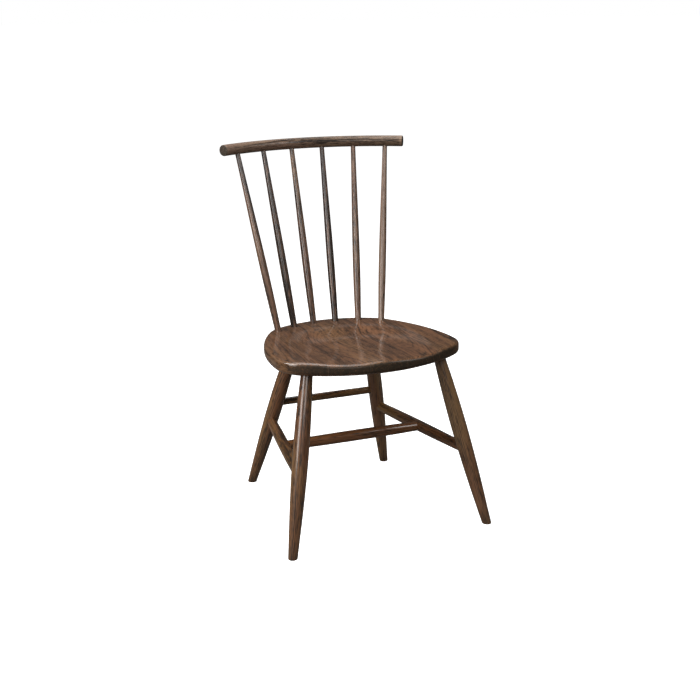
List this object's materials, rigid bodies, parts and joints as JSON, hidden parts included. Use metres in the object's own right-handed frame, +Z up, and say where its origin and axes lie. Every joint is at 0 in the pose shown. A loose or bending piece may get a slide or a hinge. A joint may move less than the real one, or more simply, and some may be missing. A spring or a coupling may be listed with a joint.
{
  "type": "side chair",
  "caption": "Wooden side chair with a saddled plank seat, splayed turned legs joined by stretchers, and a back of tapered spindles under a bent round crest rail.",
  "frame": {"origin": "on the floor, at the middle of the box around the chair", "axes": "+Z up, -Y towards the front of the seat, +X to the right of a viewer who faces the chair"},
  "size_m": [0.5518, 0.5992, 0.9358],
  "materials": {
    "seat_wood": "dark stain under semi-gloss lacquer",
    "crest_wood": "dark stain under semi-gloss lacquer",
    "spindle_wood": "dark stain under semi-gloss lacquer",
    "leg_wood": "dark stain under semi-gloss lacquer",
    "stretcher_wood": "dark stain under semi-gloss lacquer"
  },
  "bodies": {
    "root": {"crest_rail": "crest_wood", "leg_front_left": "leg_wood", "leg_front_right": "leg_wood", "leg_rear_left": "leg_wood", "leg_rear_right": "leg_wood", "seat_board_1": "seat_wood", "seat_board_2": "seat_wood", "seat_board_3": "seat_wood", "seat_board_4": "seat_wood", "seat_board_5": "seat_wood", "spindle_1": "spindle_wood", "spindle_2": "spindle_wood", "spindle_3": "spindle_wood", "spindle_4": "spindle_wood", "spindle_5": "spindle_wood", "spindle_6": "spindle_wood", "stretcher_back": "stretcher_wood", "stretcher_centre": "stretcher_wood", "stretcher_left": "stretcher_wood", "stretcher_right": "stretcher_wood"}
  },
  "joints": []
}
